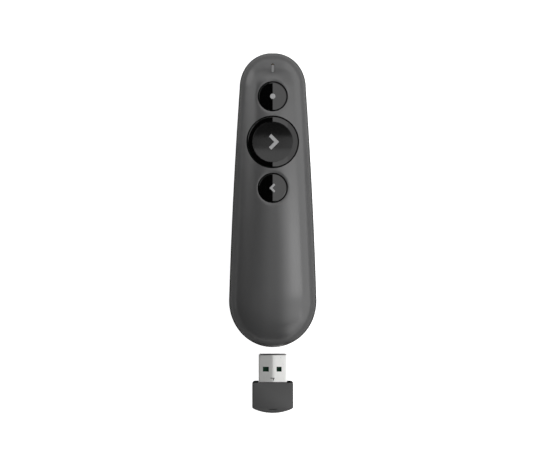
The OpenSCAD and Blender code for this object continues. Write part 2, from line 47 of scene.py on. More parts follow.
# ---------------------------------------------------------------- sizes, as in the CAD source
L = 124.7  # length of the remote
HL = 62.35  # half of it
HW = 18.55  # half of its greatest width
TOP = 26.3  # height of the crown
ZP = 11.0  # height of the parting line
WALL = 1.7
NOSE = 15.2  # length of the round tip in plan
NOSE_HW = 14.07  # half width where the round tip ends
TAIL = 19.86  # length of the round tail in plan
CROWN_DROP = 2.6  # fall of the crown half a length away from its highest point
CROWN_PEAK = 0.5774  # place of the highest point as a share of the length
LASER_Y = HL - 18.4
NEXT_Y = HL - 37.7
BACK_Y = HL - 57.2
SMALL_R = 6.3  # wells of the laser and back buttons
LARGE_R = 11.05  # well of the next button
PAD_R = 8.5
GAP = 0.45  # between a cap and its well
PROUD = 0.15  # caps above the crown
CROWN_R = 40.0  # radius of the caps' faces across the remote
BEAM_R = 2.4
PLUG_TIP = -65.1  # front of the plug while the receiver lies behind the tail
CAP_Y1 = -76.6  # front of the receiver's cap
CAP_Y0 = -90.3  # its rear
CAP_W = 17.4
CAP_H = 6.0
PLUG_W = 12.0
PLUG_H = 4.5
DOCK_CAP = -48.35  # how far the dock takes the cap
DOCK_END = -36.8  # how far it takes the plug
POSTS = [(11.3, 2.0), (-11.3, 2.0), (13.2, -42.0), (-13.2, -42.0)]
POST_R = 2.8
SCREW_HEAD_R = 2.1
SCREW_SHANK_R = 1.15

# ---------------------------------------------------------------- sizes of the scene's own detail
EASE = 0.1  # wells are this much wider than in the source
DISH_W = 1.4  # shallow recess round each small well
DISH_D = 0.2
GROOVE_X = 0.9935  # the parting groove as a share of the width
GROOVE_Y = 0.9981  # and of the length
LED_Y = HL - 6.4
TOP_POWER = 3  # superellipse of the upper shell's cross-section
LOWER_POWER = 2.6
SHOULDER = 0.9  # dark piece beside the plug, along Y, black as painted shade
ABOVE = 40.0  # cutters reach from over everything
BELOW = -1.0  # to under everything
PAD_SEAT = 2.2  # depth of the pad under the crown
WELL_FLOOR = 17.0  # cutters of the top shell end in its hollow


def rise(s, la, lb, na, nb):
    """Goes from 0 to 1 over the first la, and back to 0 over the last lb, as superellipses."""
    if s < la:
        return max(0.0, 1 - ((la - s) / la) ** na) ** (1 / na)
    if s > L - lb:
        return max(0.0, 1 - ((s - L + lb) / lb) ** nb) ** (1 / nb)
    return 1.0


def half_width(s):
    m = min(1.0, max(0.0, (s - NOSE) / (L - TAIL - NOSE)))
    bulge = 0.393 * m * (1 - m)
    return (NOSE_HW + (HW - NOSE_HW) * (m + bulge)) * rise(s, NOSE, TAIL, 2.1, 2.03)


def crown(s):
    return TOP - CROWN_DROP * ((s / L - CROWN_PEAK) / 0.5) ** 2


def crown_slope(s):
    return -8 * CROWN_DROP * (s / L - CROWN_PEAK) / L


def up_at(s):
    """Height of the upper shell over the parting line."""
    return (crown(s) - ZP) * rise(s, NOSE, 24, 2.6, 2.3)


def down_at(s):
    """Depth of the lower shell under the parting line; the underside lifts towards the tip."""
    return (ZP + 1 - 5.5 * max(0.0, (40 - s) / 40) ** 2) * rise(s, NOSE, 13, 2.4, 2.6)


def top_z(x, y):
    """Height of the upper shell, without its recesses."""
    s = HL - y
    hw = half_width(s)
    if hw <= 0 or abs(x) >= hw:
        return ZP
    return ZP + up_at(s) * (1 - (abs(x) / hw) ** TOP_POWER) ** (1 / TOP_POWER)


def cap_z(x, y, cy):
    """Crowned face that the button caps follow."""
    return (crown(HL - cy) + PROUD - (y - cy) * crown_slope(HL - cy)
            - CROWN_R + math.sqrt(CROWN_R ** 2 - x * x))


# ---------------------------------------------------------------- mesh helpers
def link(ob):
    bpy.context.scene.collection.objects.link(ob)
    return ob


def new_object(name, verts, faces):
    """A mesh object from points in millimetres, with its faces turned outwards."""
    me = bpy.data.meshes.new(name)
    me.from_pydata([(x * MM, y * MM, z * MM) for x, y, z in verts], [], faces)
    me.validate()
    me.update()
    ob = link(bpy.data.objects.new(name, me))
    bm = bmesh.new()
    bm.from_mesh(me)
    bmesh.ops.recalc_face_normals(bm, faces=bm.faces)
    bm.to_mesh(me)
    bm.free()
    return ob


def shade(ob, sharp=35):
    """Smooth faces, with edges kept sharp above an angle in degrees."""
    me = ob.data
    me.polygons.foreach_set("use_smooth", [True] * len(me.polygons))
    me.set_sharp_from_angle(angle=math.radians(sharp))
    return ob


def apply_modifiers(ob):
    dg = bpy.context.evaluated_depsgraph_get()
    me = bpy.data.meshes.new_from_object(ob.evaluated_get(dg))
    old = ob.data
    ob.modifiers.clear()
    ob.data = me
    bpy.data.meshes.remove(old)


def boolean(ob, tools, op="DIFFERENCE"):
    for tool in tools:
        mod = ob.modifiers.new("cut", "BOOLEAN")
        mod.operation = op
        mod.solver = "EXACT"
        mod.object = tool
    apply_modifiers(ob)
    for tool in tools:
        me = tool.data
        bpy.data.objects.remove(tool)
        bpy.data.meshes.remove(me)


def bevel(ob, width, segments=2, angle=40):
    mod = ob.modifiers.new("bevel", "BEVEL")
    mod.width = width * MM
    mod.segments = segments
    mod.limit_method = "ANGLE"
    mod.angle_limit = math.radians(angle)
    mod.use_clamp_overlap = True
    apply_modifiers(ob)


def grid_faces(rows, cols, close=False, base=0):
    """Quads between rows of points; close joins the last column to the first."""
    out = []
    for i in range(rows - 1):
        for j in range(cols if close else cols - 1):
            k = (j + 1) % cols
            out.append((base + i * cols + j, base + i * cols + k,
                        base + (i + 1) * cols + k, base + (i + 1) * cols + j))
    return out


def capped_rings(rings, seg):
    """Faces of a tube of rings with a flat face at both ends."""
    last = (rings - 1) * seg
    faces = grid_faces(rings, seg, True)
    faces.append(tuple(range(seg)))
    faces.append(tuple(last + j for j in reversed(range(seg))))
    return faces


def looped_rings(rings, seg):
    """Faces of a tube of rings whose last ring joins its first."""
    last = (rings - 1) * seg
    faces = grid_faces(rings, seg, True)
    faces += [(last + j, last + (j + 1) % seg, (j + 1) % seg, j) for j in range(seg)]
    return faces


def lathe(name, profile, cx, cy, seg=96):
    """Closed turned piece about a vertical axis.

    The profile is a list of (radius, height); a height may be a function of x and y.
    """
    verts = []
    for r, z in profile:
        for j in range(seg):
            a = 2 * math.pi * j / seg
            x, y = cx + r * math.cos(a), cy + r * math.sin(a)
            verts.append((x, y, z(x, y) if callable(z) else z))
    return shade(new_object(name, verts, capped_rings(len(profile), seg)))


def lathe_y(name, profile, x, z, seg=64):
    """Turned piece about a line along Y; profile is (y, radius)."""
    verts = []
    for y, r in profile:
        for j in range(seg):
            a = 2 * math.pi * (j + 0.5) / seg
            verts.append((x + r * math.cos(a), y, z + r * math.sin(a)))
    return shade(new_object(name, verts, capped_rings(len(profile), seg)))


def slab(name, outline, z0, z1):
    """Straight prism over a plan outline."""
    n = len(outline)
    verts = [(x, y, z0) for x, y in outline] + [(x, y, z1) for x, y in outline]
    faces = [tuple(reversed(range(n))), tuple(range(n, 2 * n))]
    faces += [(i, (i + 1) % n, n + (i + 1) % n, n + i) for i in range(n)]
    return new_object(name, verts, faces)


def block(name, x0, x1, y0, y1, z0, z1):
    return slab(name, [(x0, y0), (x1, y0), (x1, y1), (x0, y1)], z0, z1)


def refined(name, node, width, segments=2, angle=40):
    """A copy of a CAD node with its sharp edges rounded as moulded or stamped ones are."""
    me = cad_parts[node].data.copy()
    ob = link(bpy.data.objects.new(name, me))
    bm = bmesh.new()
    bm.from_mesh(me)
    bmesh.ops.remove_doubles(bm, verts=bm.verts, dist=1e-6)
    bmesh.ops.dissolve_limit(bm, angle_limit=math.radians(1.0), verts=bm.verts, edges=bm.edges)
    bm.to_mesh(me)
    bm.free()
    me.materials.clear()
    bevel(ob, width, segments, angle)
    return shade(ob, 32)


# ---------------------------------------------------------------- materials
def node_material(name):
    mat = bpy.data.materials.new(name)
    mat.use_nodes = True
    nt = mat.node_tree
    bsdf = nt.nodes["Principled BSDF"]
    coord = nt.nodes.new("ShaderNodeTexCoord")
    return mat, nt, bsdf, coord


def noise(nt, coord, scale, detail=3.0):
    n = nt.nodes.new("ShaderNodeTexNoise")
    n.inputs["Scale"].default_value = scale
    n.inputs["Detail"].default_value = detail
    nt.links.new(coord.outputs["Object"], n.inputs["Vector"])
    return n


def ramp(nt, source, lo, hi):
    """Spreads a noise, which seldom leaves 0.1 to 0.9, over lo to hi."""
    r = nt.nodes.new("ShaderNodeMapRange")
    r.inputs["From Min"].default_value = 0.1
    r.inputs["From Max"].default_value = 0.9
    r.inputs["To Min"].default_value = lo
    r.inputs["To Max"].default_value = hi
    nt.links.new(source, r.inputs["Value"])
    return r.outputs["Result"]


def tint(nt, source, dark, light):
    m = nt.nodes.new("ShaderNodeMix")
    m.data_type = "RGBA"
    m.inputs["A"].default_value = (*dark, 1)
    m.inputs["B"].default_value = (*light, 1)
    nt.links.new(source, m.inputs["Factor"])
    return m.outputs["Result"]


def add_bump(nt, bsdf, height, distance, strength=1.0):
    b = nt.nodes.new("ShaderNodeBump")
    b.inputs["Strength"].default_value = strength
    b.inputs["Distance"].default_value = distance
    nt.links.new(height, b.inputs["Height"])
    nt.links.new(b.outputs["Normal"], bsdf.inputs["Normal"])


def moulded(name, colour, rough, spread=0.03, grain=2600.0, depth=1e-5, vary=0.04, sheen=0.5):
    """Moulded plastic: a fine spark-eroded grain, faint cloudiness in colour and gloss.

    Spread and vary are the ranges of roughness and colour, depth is the grain's in metres.
    """
    mat, nt, bsdf, coord = node_material(name)
    cloud = noise(nt, coord, 55.0, 2.0)
    fine = noise(nt, coord, grain, 2.0)
    dark = tuple(c * (1 - vary) for c in colour)
    light = tuple(c * (1 + vary) for c in colour)
    cloudy = tint(nt, ramp(nt, cloud.outputs["Fac"], 0, 1), dark, light)
    nt.links.new(cloudy, bsdf.inputs["Base Color"])
    nt.links.new(ramp(nt, cloud.outputs["Fac"], rough - spread / 2, rough + spread / 2),
                 bsdf.inputs["Roughness"])
    bsdf.inputs["Specular IOR Level"].default_value = sheen
    add_bump(nt, bsdf, fine.outputs["Fac"], depth)
    return mat


def metal(name, colour, rough, stretch=(1, 1, 1), scale=900.0, depth=4e-6, spread=0.1):
    """Bare or plated metal with drawn or rolled streaks along one direction."""
    mat, nt, bsdf, coord = node_material(name)
    mp = nt.nodes.new("ShaderNodeMapping")
    mp.inputs["Scale"].default_value = stretch
    nt.links.new(coord.outputs["Object"], mp.inputs["Vector"])
    streak = nt.nodes.new("ShaderNodeTexNoise")
    streak.inputs["Scale"].default_value = scale
    streak.inputs["Detail"].default_value = 4.0
    nt.links.new(mp.outputs["Vector"], streak.inputs["Vector"])
    bsdf.inputs["Metallic"].default_value = 1.0
    dark = tuple(c * 0.94 for c in colour)
    nt.links.new(tint(nt, ramp(nt, streak.outputs["Fac"], 0, 1), dark, colour),
                 bsdf.inputs["Base Color"])
    nt.links.new(ramp(nt, streak.outputs["Fac"], rough - spread / 2, rough + spread / 2),
                 bsdf.inputs["Roughness"])
    add_bump(nt, bsdf, streak.outputs["Fac"], depth)
    return mat


def board_mask(name, colour, trace, sheen=0.5):
    """Solder mask over copper tracks."""
    mat, nt, bsdf, coord = node_material(name)
    brick = nt.nodes.new("ShaderNodeTexBrick")
    brick.inputs["Scale"].default_value = 420.0
    brick.inputs["Mortar Size"].default_value = 0.035
    brick.inputs["Color1"].default_value = (*colour, 1)
    brick.inputs["Color2"].default_value = (*[c * 0.85 for c in colour], 1)
    brick.inputs["Mortar"].default_value = (*trace, 1)
    nt.links.new(coord.outputs["Object"], brick.inputs["Vector"])
    nt.links.new(brick.outputs["Color"], bsdf.inputs["Base Color"])
    bsdf.inputs["Roughness"].default_value = 0.3
    bsdf.inputs["Specular IOR Level"].default_value = sheen
    add_bump(nt, bsdf, brick.outputs["Fac"], 2e-5, 0.5)
    return mat


def lens_glass():
    mat, nt, bsdf, coord = node_material("lens_glass")
    bsdf.inputs["Base Color"].default_value = (0.85, 0.93, 0.95, 1)
    bsdf.inputs["Transmission Weight"].default_value = 0.9
    bsdf.inputs["IOR"].default_value = 1.5
    haze = noise(nt, coord, 900.0)
    nt.links.new(ramp(nt, haze.outputs["Fac"], 0.02, 0.05), bsdf.inputs["Roughness"])
    return mat


def grey(v):
    return (v, v, v * 1.01)


SHELL = moulded("graphite_satin", grey(0.060), 0.26, sheen=0.75)
LOWER = moulded("graphite_satin_lower", grey(0.054), 0.28, sheen=0.75)
CAPS = moulded("gloss_black", (0.0012, 0.0012, 0.0012), 0.02,
               spread=0.006, grain=300.0, depth=1e-7, vary=0.05)
PAD = moulded("pad_satin", (0.0015, 0.0015, 0.0016), 0.17,
              spread=0.02, grain=1800.0, depth=5e-7, vary=0.05, sheen=0.38)
MARK = moulded("printed_grey", grey(0.30), 0.5, spread=0.05, grain=3000.0, depth=2e-6, vary=0.03)
# Black of the wells' walls and of the rings under them: painted shade for the deep gap round each
# cap.
WELL_SHADE = moulded("well_painted_shade", grey(0.002), 0.6, sheen=0.08)
PIPE = moulded("light_pipe", grey(0.2), 0.15, spread=0.04, grain=1500.0, depth=1e-6, vary=0.1)
WINDOW = moulded("laser_window_black", (0.012, 0.004, 0.005), 0.06,
                 spread=0.02, grain=500.0, depth=5e-7)
TRAY = moulded("tray_black", grey(0.03), 0.5)
IVORY = moulded("ivory_nylon", (0.72, 0.69, 0.6), 0.45,
                spread=0.08, grain=1800.0, depth=4e-6, vary=0.05)
CHIP = moulded("chip_epoxy", grey(0.02), 0.5, spread=0.1, grain=4000.0, depth=4e-6)
CERAMIC = moulded("ceramic_tan", (0.5, 0.38, 0.25), 0.45, spread=0.1, grain=2500.0, depth=3e-6)
CERAMIC_BLUE = moulded("ceramic_blue", (0.25, 0.36, 0.45), 0.4,
                       spread=0.1, grain=2500.0, depth=3e-6)
LED = moulded("led_resin", (0.8, 0.76, 0.5), 0.2, spread=0.05, grain=900.0, depth=1e-6, vary=0.05)
SLEEVE = moulded("cell_sleeve", (0.42, 0.17, 0.04), 0.28, spread=0.06, grain=400.0, depth=2e-6)
REC_CAP = moulded("receiver_satin", grey(0.042), 0.42)
# Black of the pieces beside the plug: painted shade of the cap's sloped front beside the plug.
REC_SHADE = moulded("receiver_painted_shade", grey(0.002), 0.5, sheen=0.1)
BOARD = board_mask("solder_mask_green", (0.012, 0.075, 0.03), (0.03, 0.15, 0.06))
REC_BOARD = board_mask("receiver_mask_green", (0.003, 0.034, 0.015), (0.005, 0.045, 0.022), 0.1)
STEEL = metal("zinc_steel", (0.62, 0.62, 0.63), 0.32)
PLUG = metal("plug_nickel", (0.78, 0.78, 0.765), 0.28,
             stretch=(1, 0.12, 1), scale=2200.0, depth=3e-7, spread=0.02)
BRASS = metal("turned_brass", (0.78, 0.57, 0.26), 0.25, stretch=(1, 6, 1), scale=700.0)
GOLD = metal("gold_plate", (0.92, 0.7, 0.3), 0.22)
CAN = metal("stamped_can", (0.72, 0.72, 0.73), 0.3)
GLASS = lens_glass()


def dress(ob, mat, body, node=None):
    """Gives a piece its material and body, and hides the CAD node that it stands for."""
    ob.data.materials.clear()
    ob.data.materials.append(mat)
    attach(ob, body)
    if node:
        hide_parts(node)
    return ob


# ---------------------------------------------------------------- shells
def ease_steps(n):
    """Fractions from 0 to 1, crowded at 0, for the round ends."""
    return [1 - math.cos(0.5 * math.pi * i / n) for i in range(1, n)]


def make_stations(nose_n, mid_n, tail_n):
    """Distances from the tip at which the cross-sections of a shell stand."""
    out = [NOSE * f for f in ease_steps(nose_n)]
    out += [NOSE + (L - TAIL - NOSE) * i / mid_n for i in range(mid_n + 1)]
    out += [L - TAIL * f for f in reversed(ease_steps(tail_n))]
    return out


def even_arc(power, n, w=16.5, h=14.5, start=0.3):
    """(u, v) on one quarter of a superellipse at even spacing, starting a little above v = 0.

    The spacing is even where the quarter is w wide and h high, and it starts at the height start.
    """
    fine = []
    samples = 4000
    for i in range(samples + 1):
        a = 0.5 * math.pi * i / samples
        fine.append((math.cos(a) ** (2 / power), math.sin(a) ** (2 / power)))
    fine = [p for p in fine if p[1] * h >= start]
    length = [0.0]
    for p, q in zip(fine, fine[1:]):
        length.append(length[-1] + math.hypot((p[0] - q[0]) * w, (p[1] - q[1]) * h))
    out = []
    k = 0
    for i in range(n + 1):
        goal = length[-1] * i / n
        while k < len(length) - 2 and length[k + 1] < goal:
            k += 1
        t = (goal - length[k]) / (length[k + 1] - length[k])
        out.append(tuple(fine[k][c] + t * (fine[k + 1][c] - fine[k][c]) for c in (0, 1)))
    return out


def skin_point(top, s, u, v, side):
    """Point of the outer face at (u, v) of the arc at s; side is 1 for right and -1 for left."""
    x, y = side * half_width(s) * u, HL - s
    if not top:
        z = ZP - down_at(s) * v
        flat_blend = 0.25
        return (x, y, 0.5 * (z + math.sqrt(z * z + flat_blend ** 2)))
    z = ZP + up_at(s) * v
    for cy in (LASER_Y, BACK_Y):
        d = math.hypot(x, y - cy)
        if d < SMALL_R + DISH_W:
            to_tip = 0.8 + 0.2 * (y - cy) / max(d, 1.0)
            z -= DISH_D * (1 - max(0.0, d - SMALL_R) / DISH_W) ** 2 * to_tip
    return (x, y, z)


def section(top, s, arc):
    """Points of one cross-section from the right edge to the left, with the parting groove."""
    hw = half_width(s)
    power = TOP_POWER if top else LOWER_POWER
    h = up_at(s) if top else -down_at(s)
    v0 = 0.55 * arc[0][1]
    groove = [(hw * GROOVE_X, (HL - s) * GROOVE_Y, ZP),
              (hw * (1 - v0 ** power) ** (1 / power), HL - s, ZP + h * v0)]
    right = [skin_point(top, s, u, v, 1) for u, v in arc]
    left = [skin_point(top, s, u, v, -1) for u, v in arc]
    mirror = [(-x, y, z) for x, y, z in reversed(groove)]
    return groove + right + list(reversed(left))[1:] + mirror


def inner_section(top, s, arc, kx, ky, kz):
    """Points of one cross-section of the inner face: the outer one drawn in by the wall."""
    height = up_at(s) if top else -down_at(s)
    y = (HL - s) * ky
    half = [(half_width(s) * u * kx, y, ZP + height * v * kz) for u, v in arc]
    if not top:
        half = [(x, y, max(z, WALL)) for x, y, z in half]
    half.insert(0, (half_width(s) * kx, y, ZP))
    return half + [(-x, y, z) for x, y, z in reversed(half)][1:]


def shell(name, top, stations, arc_n):
    """Upper or lower shell: an outer and an inner skin, joined along the parting line."""
    power = TOP_POWER if top else LOWER_POWER
    arc = even_arc(power, arc_n)
    inner_arc = even_arc(power, 16)
    kx, ky = 1 - WALL / HW, 1 - WALL / HL
    kz = 1 - WALL / (TOP - ZP) if top else 1 - WALL / ZP
    outer = [section(top, s, arc) for s in stations]
    inner = [inner_section(top, s, inner_arc, kx, ky, kz) for s in stations]
    rows, n, m = len(outer), len(outer[0]), len(inner[0])
    q = rows * n  # first point of the inner skin
    verts = [p for row in outer + inner for p in row]
    faces = grid_faces(rows, n)
    faces += [tuple(reversed(f)) for f in grid_faces(rows, m, base=q)]
    tip, tail, tip_in, tail_in = range(len(verts), len(verts) + 4)
    verts += [(0, HL * GROOVE_Y, ZP), (0, -HL * GROOVE_Y, ZP), (0, HL * ky, ZP), (0, -HL * ky, ZP)]
    last = rows - 1
    for j in range(n - 1):
        faces.append((tip, j + 1, j))
        faces.append((tail, last * n + j, last * n + j + 1))
    for j in range(m - 1):
        faces.append((tip_in, q + j, q + j + 1))
        faces.append((tail_in, q + last * m + j + 1, q + last * m + j))
    for i in range(last):
        right, left = i * n, i * n + n - 1
        right_in, left_in = q + i * m, q + i * m + m - 1
        faces.append((right, right + n, right_in + m, right_in))
        faces.append((left, left_in, left_in + m, left + n))
    faces += [(tip, 0, q, tip_in), (tip, tip_in, q + m - 1, n - 1)]
    faces += [(tail, tail_in, q + last * m, last * n),
              (tail, last * n + n - 1, q + last * m + m - 1, tail_in)]
    return new_object(name, verts, faces)


def pill_outline(cx, cy, w, length, n=16):
    """Plan of a slot with round ends, along Y."""
    out = []
    for end in (1, -1):
        for k in range(n + 1):
            a = math.pi * k / n if end == 1 else math.pi + math.pi * k / n
            out.append((cx + w / 2 * math.cos(a),
                        cy + end * (length - w) / 2 + w / 2 * math.sin(a)))
    return out


# Wells of the buttons: name, y, radius, points round the cutter
WELLS = (("laser", LASER_Y, SMALL_R, 128),
         ("next", NEXT_Y, LARGE_R, 160),
         ("back", BACK_Y, SMALL_R, 128))


def beam_cutter(name, z):
    """Cutter of the beam hole; its axis is set off a hair from the shells' own points."""
    return lathe_y(name, [(HL - 5, BEAM_R), (HL + 1, BEAM_R)], 0.0003, z, 50)


def top_shell():
    ob = shell("shell_top", True, make_stations(44, 210, 44), 84)
    cutters = [lathe("cut_" + name, [(r + EASE, ABOVE), (r + EASE, WELL_FLOOR)], 0, cy, seg)
               for name, cy, r, seg in WELLS]
    cutters.append(slab("cut_led", pill_outline(0, LED_Y, 1.3, 3.7), WELL_FLOOR, ABOVE))
    cutters.append(beam_cutter("cut_beam", ZP + 0.0011))
    boolean(ob, cutters)
    return shade(ob, 38)


def paint_well_shade(ob):
    """Gives the upright walls of the three wells a second, black material: painted shade for the deep
    gap round each cap.
    """
    ob.data.materials.append(WELL_SHADE)
    for poly in ob.data.polygons:
        x, y, z = (c / MM for c in poly.center)
        if abs(poly.normal.z) < 0.3 and z > WELL_FLOOR:
            if any(abs(math.hypot(x, y - cy) - r - EASE) < 0.08 for _name, cy, r, _seg in WELLS):
                poly.material_index = 1


def gap_shade_ring(name, cy, well_r):
    """Black ring under the shell, a short tube with a lip that all but meets the cap: a dark piece in
    the gap, black as painted shade.
    """
    seg = 96
    r_in, r_out, lip = well_r + EASE + 0.03, well_r + 0.8, well_r - GAP + 0.06
    turns = [2 * math.pi * j / seg for j in range(seg)]
    z = min(top_z(r_out * math.cos(a), cy + r_out * math.sin(a)) for a in turns) - 0.6
    lip_top, foot = z - 1.5, z - 1.9
    profile = [(r_in, z), (r_in, lip_top), (lip, lip_top), (lip, foot), (r_out, foot), (r_out, z)]
    verts = []
    for r, height in profile:
        verts += [(r * math.cos(a), cy + r * math.sin(a), height) for a in turns]
    ob = shade(new_object(name, verts, looped_rings(len(profile), seg)))
    return dress(ob, WELL_SHADE, "remote")


def bottom_shell():
    ob = shell("shell_bottom", False, make_stations(30, 90, 36), 40)
    bosses = []
    for k, (x, y) in enumerate(POSTS):
        foot = 4.4 if abs(y) < 20 else 4.2
        bosses.append(lathe("boss_%d" % k, [(POST_R, ZP - 0.05), (POST_R, foot)], x, y, 48))
    boolean(ob, bosses, "UNION")
    cap_x, plug_x = CAP_W / 2 + 0.3, PLUG_W / 2 + 0.3
    cutters = [beam_cutter("cut_beam_low", ZP - 0.0011),
               block("cut_door", -6.5, 6.5, -33.4, 13.9, BELOW, 2.7),
               block("cut_dock", -cap_x, cap_x, -HL - 1, DOCK_CAP, BELOW, CAP_H + 0.3),
               block("cut_plug", -plug_x, plug_x, DOCK_CAP - 1, DOCK_END, 0.45, 2.7)]
    for k, (x, y) in enumerate(POSTS):
        head = [(SCREW_HEAD_R, 5.2), (SCREW_HEAD_R, BELOW)]
        shank = [(SCREW_SHANK_R, ZP + 1), (SCREW_SHANK_R, 1.0)]
        cutters.append(lathe("cut_screw_%d" % k, head, x, y, 40))
        cutters.append(lathe("cut_shank_%d" % k, shank, x, y, 24))
    boolean(ob, cutters)
    return shade(ob, 38)


upper = dress(top_shell(), SHELL, "remote", "top_shell")
paint_well_shade(upper)
for well_name, well_y, well_r, _seg in WELLS:
    gap_shade_ring("gap_shade_ring_" + well_name, well_y, well_r)
dress(bottom_shell(), LOWER, "remote", "bottom_shell")


# ---------------------------------------------------------------- buttons
STEM_FOOT = 20.5  # the hollow stem of a cap takes its plunger from here up


def cap_profile(cy, r, edge, bottom, inner=0.0, rings=26):
    """(radius, height) pairs from the middle of the face over the rounded edge and down."""
    out = []
    lo = inner if inner else r / rings * 0.5
    for i in range(rings + 1):
        out.append((lo + (r - edge - lo) * i / rings, 0.0))
    steps = 5
    for k in range(1, steps + 1):
        a = 0.5 * math.pi * k / steps
        out.append((r - edge + edge * math.sin(a), -edge * (1 - math.cos(a))))
    profile = [(rr, (lambda x, y, d=d: cap_z(x, y, cy) + d)) for rr, d in out]
    profile.append((r, bottom))
    return profile


def small_button(name, cy, node, body):
    r = SMALL_R - GAP
    face = crown(HL - cy)
    skirt, roof = face - 3.6, face - 1.8
    wall, stem_r = 1.1, 1.6
    profile = cap_profile(cy, r, 0.12, skirt)
    profile += [(r - wall, skirt), (r - wall, roof), (stem_r, roof), (stem_r, STEM_FOOT)]
    dress(lathe(name, profile, 0, cy, 128), CAPS, body, node)


def large_button():
    """Gloss ring of the next button, with a sharp inner edge that holds the pad."""
    face = crown(HL - NEXT_Y)
    skirt, roof, seat = face - 4.2, face - 3.4, face - PAD_SEAT
    skirt_r, stem_r = 9.4, 1.8
    profile = [(PAD_R, seat),
               (PAD_R, lambda x, y: cap_z(x, y, NEXT_Y) - 0.08),
               (PAD_R + 0.08, lambda x, y: cap_z(x, y, NEXT_Y))]
    profile += cap_profile(NEXT_Y, LARGE_R - GAP, 0.14, skirt, PAD_R + 0.16, 14)
    profile += [(skirt_r, skirt), (skirt_r, roof), (stem_r, roof), (stem_r, STEM_FOOT)]
    ring = lathe("cap_next", profile, 0, NEXT_Y, 160)
    dress(ring, CAPS, "next_button", "next_button_cap")


def pad_z(x, y):
    """Dished face of the pad; y is measured from the pad's middle."""
    d = min(1.0, math.hypot(x, y) / PAD_R)
    below, dish = 0.05, 0.92
    return (crown(HL - NEXT_Y) + PROUD - below - y * crown_slope(HL - NEXT_Y) - CROWN_R
            + math.sqrt(CROWN_R ** 2 - x * x) - dish * (1 - d * d))


def pad():
    seg, rings = 144, 40
    rim = PAD_R - 0.03
    turns = [2 * math.pi * j / seg for j in range(seg)]
    verts = [(0, NEXT_Y, pad_z(0, 0))]
    for i in range(1, rings + 1):
        r = rim * i / rings
        for a in turns:
            x, y = r * math.cos(a), r * math.sin(a)
            verts.append((x, NEXT_Y + y, pad_z(x, y)))
    bottom = len(verts)
    seat = crown(HL - NEXT_Y) - PAD_SEAT
    verts += [(rim * math.cos(a), NEXT_Y + rim * math.sin(a), seat) for a in turns]
    faces = [(0, 1 + j, 1 + (j + 1) % seg) for j in range(seg)]
    faces += grid_faces(rings + 1, seg, True, 1)
    faces.append(tuple(bottom + j for j in reversed(range(seg))))
    ob = shade(new_object("pad_next", verts, faces))
    dress(ob, PAD, "next_button", "next_button_pad")


small_button("cap_laser", LASER_Y, "laser_button_cap", "laser_button")
small_button("cap_back", BACK_Y, "back_button_cap", "back_button")
large_button()
pad()


# ---------------------------------------------------------------- printed marks
def printed(name, outline_fn, surface, cy, body, rows, cols, lift=0.02):
    """A thin printed patch; outline_fn maps (u, v) in 0..1 to a plan point about (0, cy)."""
    verts = []
    for dz in (lift, -0.03):
        for i in range(rows + 1):
            for j in range(cols + 1):
                x, y = outline_fn(i / rows, j / cols)
                verts.append((x, cy + y, surface(x, cy + y) + dz))
    n = cols + 1
    faces = grid_faces(rows + 1, n)
    q = (rows + 1) * n
    faces += [tuple(reversed(f)) for f in grid_faces(rows + 1, n, base=q)]
    for i in range(rows):
        faces.append((i * n, (i + 1) * n, q + (i + 1) * n, q + i * n))
        faces.append((i * n + cols, q + i * n + cols, q + (i + 1) * n + cols, (i + 1) * n + cols))
    for j in range(cols):
        faces.append((j, q + j, q + j + 1, j + 1))
        faces.append((rows * n + j, rows * n + j + 1, q + rows * n + j + 1, q + rows * n + j))
    dress(shade(new_object(name, verts, faces)), MARK, body)


def chevron(tip, inner, end_out, end_in):
    """Plan map of a chevron: u runs from one end over the tip to the other, v across the arm."""
    def at(u, v):
        t = 2 * u - 1
        side = 1 if t >= 0 else -1
        k = abs(t)
        out = (tip[0] + (end_out[0] - tip[0]) * k, side * end_out[1] * k)
        inn = (inner[0] + (end_in[0] - inner[0]) * k, side * end_in[1] * k)
        return (out[0] + (inn[0] - out[0]) * v, out[1] + (inn[1] - out[1]) * v)
    return at


def disc(r):
    """Plan map of a disc: a square grid drawn out to the circle."""
    def at(u, v):
        a, b = 2 * u - 1, 2 * v - 1
        return (r * a * math.sqrt(1 - b * b / 2), r * b * math.sqrt(1 - a * a / 2))
    return at


printed("mark_dot", disc(1.12), lambda x, y: cap_z(x, y, LASER_Y), LASER_Y, "laser_button", 24, 24)
printed("mark_next", chevron((2.70, 0), (0.62, 0), (-0.62, 3.32), (-1.62, 2.28)),
        lambda x, y: pad_z(x, y - NEXT_Y), NEXT_Y, "next_button", 48, 8)
printed("mark_back", chevron((-1.42, 0), (-0.16, 0), (0.50, 1.94), (1.06, 1.28)),
        lambda x, y: cap_z(x, y, BACK_Y), BACK_Y, "back_button", 48, 8)


# ---------------------------------------------------------------- light slot, beam window
def light_pipe():
    """Clear pill in the slot near the tip, a little below the crown, with rounded edges."""
    mid, length, width, foot = LED_Y - 0.17, 3.26, 1.28, 16.9
    outline = pill_outline(0, mid, width, length, 12)
    rings = []
    for inset, drop in ((0.55, 0.30), (0.35, 0.30), (0.12, 0.34), (0.0, 0.45)):
        ring = []
        for x, y in outline:
            xx = x * (1 - inset / (0.5 * width))
            yy = mid + (y - mid) * (1 - inset / (0.5 * length))
            ring.append((xx, yy, top_z(xx, yy) - drop))
        rings.append(ring)
    rings.append([(x, y, foot) for x, y in outline])
    verts = [p for ring in rings for p in ring]
    ob = shade(new_object("light_pipe", verts, capped_rings(len(rings), len(outline))))
    dress(ob, PIPE, "remote", "led_light_pipe")


def beam_window():
    r = BEAM_R - 0.03
    profile = [(HL - 2.9, r), (HL - 1.25, r), (HL - 1.1, 2.25), (HL - 1.0, 2.0)]
    ob = lathe_y("beam_window", profile, 0, ZP)
    dress(ob, WINDOW, "remote", "laser_window")


light_pipe()
beam_window()

# ---------------------------------------------------------------- battery door and screws
door = refined("door", "battery_door", 0.12)
dress(door, LOWER, "battery_door", "battery_door")
screws = refined("case_screws", "housing_screws", 0.06, segments=1, angle=50)
dress(screws, STEEL, "remote", "housing_screws")


